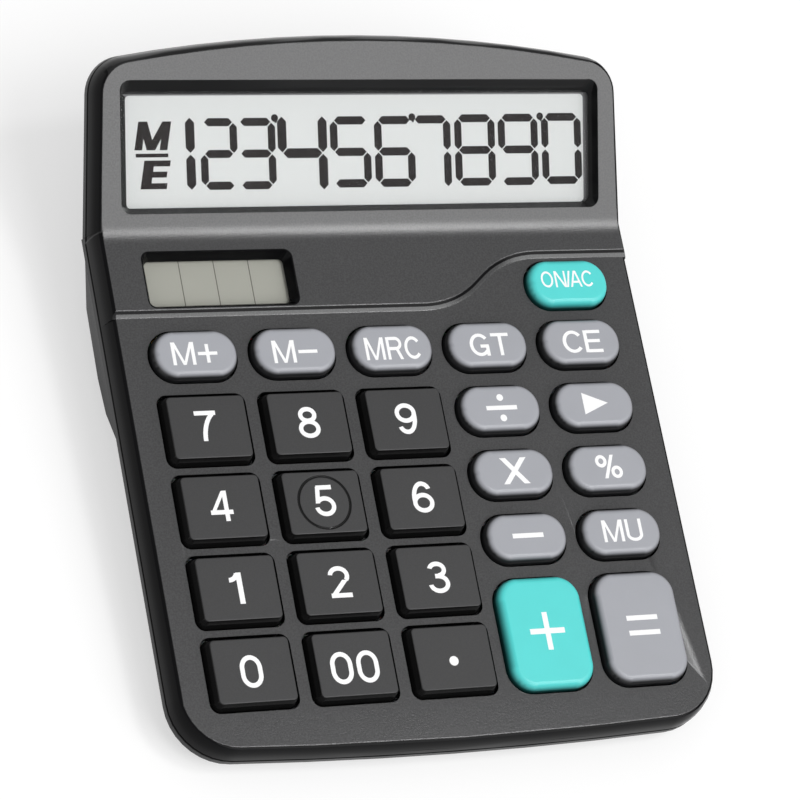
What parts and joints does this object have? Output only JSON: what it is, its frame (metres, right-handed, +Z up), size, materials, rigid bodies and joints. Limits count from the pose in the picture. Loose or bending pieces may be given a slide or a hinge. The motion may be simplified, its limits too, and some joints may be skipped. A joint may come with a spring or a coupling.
{
  "type": "desk calculator",
  "caption": "Desktop calculator with a fixed tilted display, a solar panel, sprung keys and a sliding battery door under a raised rear end.",
  "frame": {"origin": "on the desk, under the middle of the overall footprint", "axes": "+Z up; the display is at the back (+Y), the user sits at -Y, +X to the user's right"},
  "size_m": [0.12, 0.1488, 0.0382],
  "materials": {
    "dark_cover": "fine matte face with glossy rounded sides",
    "base": "fine matte",
    "clear_window": "clear, glossy",
    "lcd": "pale grey green display",
    "reflector": "satin film",
    "holder": "plain moulding",
    "film": "flexible film",
    "solar": "amorphous silicon cells",
    "wire": "insulated wire",
    "silicone": "translucent silicone",
    "board": "solder mask",
    "chip": "epoxy",
    "parts": "mixed small parts",
    "cell_case": "printed jacket",
    "spring_steel": "nickel plated",
    "screw": "zinc plated",
    "foot": "soft rubber",
    "grey_key": "satin grey with rounded edges",
    "teal_key": "satin turquoise with rounded edges",
    "dark_key": "matte top, glossy sides"
  },
  "bodies": {
    "case": {"top_cover": "dark_cover", "bottom_cover": "base", "display_window": "clear_window", "lcd_glass": "lcd", "lcd_reflector": "reflector", "lcd_holder": "holder", "lcd_ribbon": "film", "solar_window": "clear_window", "solar_cell": "solar", "solar_leads": "wire", "dome_mat": "silicone", "circuit_board": "board", "controller_chip": "chip", "board_parts": "parts", "battery": "cell_case", "battery_spring": "spring_steel", "battery_contact": "spring_steel", "case_screws": "screw", "board_screws": "screw", "rubber_feet": "foot"},
    "key_on_clear": {"key_on_clear": "teal_key"},
    "key_memory_plus": {"key_memory_plus": "grey_key"},
    "key_memory_minus": {"key_memory_minus": "grey_key"},
    "key_memory_recall": {"key_memory_recall": "grey_key"},
    "key_grand_total": {"key_grand_total": "grey_key"},
    "key_clear_entry": {"key_clear_entry": "grey_key"},
    "key_divide": {"key_divide": "grey_key"},
    "key_backspace": {"key_backspace": "grey_key"},
    "key_multiply": {"key_multiply": "grey_key"},
    "key_percent": {"key_percent": "grey_key"},
    "key_minus": {"key_minus": "grey_key"},
    "key_markup": {"key_markup": "grey_key"},
    "key_plus": {"key_plus": "teal_key"},
    "key_equals": {"key_equals": "grey_key"},
    "key_7": {"key_7": "dark_key"},
    "key_8": {"key_8": "dark_key"},
    "key_9": {"key_9": "dark_key"},
    "key_4": {"key_4": "dark_key"},
    "key_5": {"key_5": "dark_key"},
    "key_6": {"key_6": "dark_key"},
    "key_1": {"key_1": "dark_key"},
    "key_2": {"key_2": "dark_key"},
    "key_3": {"key_3": "dark_key"},
    "key_0": {"key_0": "dark_key"},
    "key_00": {"key_00": "dark_key"},
    "key_point": {"key_point": "dark_key"},
    "battery_door": {"battery_door": "base"}
  },
  "joints": [
    {"name": "key_on_clear_press", "type": "slide", "parent": "case", "child": "key_on_clear", "axis": [0, -0.0785, 0.9969], "range_m": [-0.0012, 0], "stiffness_N_per_m": 450, "deforming": ["dome_mat"]},
    {"name": "key_memory_plus_press", "type": "slide", "parent": "case", "child": "key_memory_plus", "axis": [0, -0.0785, 0.9969], "range_m": [-0.0012, 0], "stiffness_N_per_m": 450, "deforming": ["dome_mat"]},
    {"name": "key_memory_minus_press", "type": "slide", "parent": "case", "child": "key_memory_minus", "axis": [0, -0.0785, 0.9969], "range_m": [-0.0012, 0], "stiffness_N_per_m": 450, "deforming": ["dome_mat"]},
    {"name": "key_memory_recall_press", "type": "slide", "parent": "case", "child": "key_memory_recall", "axis": [0, -0.0785, 0.9969], "range_m": [-0.0012, 0], "stiffness_N_per_m": 450, "deforming": ["dome_mat"]},
    {"name": "key_grand_total_press", "type": "slide", "parent": "case", "child": "key_grand_total", "axis": [0, -0.0785, 0.9969], "range_m": [-0.0012, 0], "stiffness_N_per_m": 450, "deforming": ["dome_mat"]},
    {"name": "key_clear_entry_press", "type": "slide", "parent": "case", "child": "key_clear_entry", "axis": [0, -0.0785, 0.9969], "range_m": [-0.0012, 0], "stiffness_N_per_m": 450, "deforming": ["dome_mat"]},
    {"name": "key_divide_press", "type": "slide", "parent": "case", "child": "key_divide", "axis": [0, -0.0785, 0.9969], "range_m": [-0.0012, 0], "stiffness_N_per_m": 450, "deforming": ["dome_mat"]},
    {"name": "key_backspace_press", "type": "slide", "parent": "case", "child": "key_backspace", "axis": [0, -0.0785, 0.9969], "range_m": [-0.0012, 0], "stiffness_N_per_m": 450, "deforming": ["dome_mat"]},
    {"name": "key_multiply_press", "type": "slide", "parent": "case", "child": "key_multiply", "axis": [0, -0.0785, 0.9969], "range_m": [-0.0012, 0], "stiffness_N_per_m": 450, "deforming": ["dome_mat"]},
    {"name": "key_percent_press", "type": "slide", "parent": "case", "child": "key_percent", "axis": [0, -0.0785, 0.9969], "range_m": [-0.0012, 0], "stiffness_N_per_m": 450, "deforming": ["dome_mat"]},
    {"name": "key_minus_press", "type": "slide", "parent": "case", "child": "key_minus", "axis": [0, -0.0785, 0.9969], "range_m": [-0.0012, 0], "stiffness_N_per_m": 450, "deforming": ["dome_mat"]},
    {"name": "key_markup_press", "type": "slide", "parent": "case", "child": "key_markup", "axis": [0, -0.0785, 0.9969], "range_m": [-0.0012, 0], "stiffness_N_per_m": 450, "deforming": ["dome_mat"]},
    {"name": "key_plus_press", "type": "slide", "parent": "case", "child": "key_plus", "axis": [0, -0.0785, 0.9969], "range_m": [-0.0012, 0], "stiffness_N_per_m": 450, "deforming": ["dome_mat"]},
    {"name": "key_equals_press", "type": "slide", "parent": "case", "child": "key_equals", "axis": [0, -0.0785, 0.9969], "range_m": [-0.0012, 0], "stiffness_N_per_m": 450, "deforming": ["dome_mat"]},
    {"name": "key_7_press", "type": "slide", "parent": "case", "child": "key_7", "axis": [0, -0.0785, 0.9969], "range_m": [-0.0012, 0], "stiffness_N_per_m": 450, "deforming": ["dome_mat"]},
    {"name": "key_8_press", "type": "slide", "parent": "case", "child": "key_8", "axis": [0, -0.0785, 0.9969], "range_m": [-0.0012, 0], "stiffness_N_per_m": 450, "deforming": ["dome_mat"]},
    {"name": "key_9_press", "type": "slide", "parent": "case", "child": "key_9", "axis": [0, -0.0785, 0.9969], "range_m": [-0.0012, 0], "stiffness_N_per_m": 450, "deforming": ["dome_mat"]},
    {"name": "key_4_press", "type": "slide", "parent": "case", "child": "key_4", "axis": [0, -0.0785, 0.9969], "range_m": [-0.0012, 0], "stiffness_N_per_m": 450, "deforming": ["dome_mat"]},
    {"name": "key_5_press", "type": "slide", "parent": "case", "child": "key_5", "axis": [0, -0.0785, 0.9969], "range_m": [-0.0012, 0], "stiffness_N_per_m": 450, "deforming": ["dome_mat"]},
    {"name": "key_6_press", "type": "slide", "parent": "case", "child": "key_6", "axis": [0, -0.0785, 0.9969], "range_m": [-0.0012, 0], "stiffness_N_per_m": 450, "deforming": ["dome_mat"]},
    {"name": "key_1_press", "type": "slide", "parent": "case", "child": "key_1", "axis": [0, -0.0785, 0.9969], "range_m": [-0.0012, 0], "stiffness_N_per_m": 450, "deforming": ["dome_mat"]},
    {"name": "key_2_press", "type": "slide", "parent": "case", "child": "key_2", "axis": [0, -0.0785, 0.9969], "range_m": [-0.0012, 0], "stiffness_N_per_m": 450, "deforming": ["dome_mat"]},
    {"name": "key_3_press", "type": "slide", "parent": "case", "child": "key_3", "axis": [0, -0.0785, 0.9969], "range_m": [-0.0012, 0], "stiffness_N_per_m": 450, "deforming": ["dome_mat"]},
    {"name": "key_0_press", "type": "slide", "parent": "case", "child": "key_0", "axis": [0, -0.0785, 0.9969], "range_m": [-0.0012, 0], "stiffness_N_per_m": 450, "deforming": ["dome_mat"]},
    {"name": "key_00_press", "type": "slide", "parent": "case", "child": "key_00", "axis": [0, -0.0785, 0.9969], "range_m": [-0.0012, 0], "stiffness_N_per_m": 450, "deforming": ["dome_mat"]},
    {"name": "key_point_press", "type": "slide", "parent": "case", "child": "key_point", "axis": [0, -0.0785, 0.9969], "range_m": [-0.0012, 0], "stiffness_N_per_m": 450, "deforming": ["dome_mat"]},
    {"name": "battery_door_slide", "type": "slide", "parent": "case", "child": "battery_door", "axis": [0, 1, 0], "range_m": [0, 0.0135]}
  ]
}
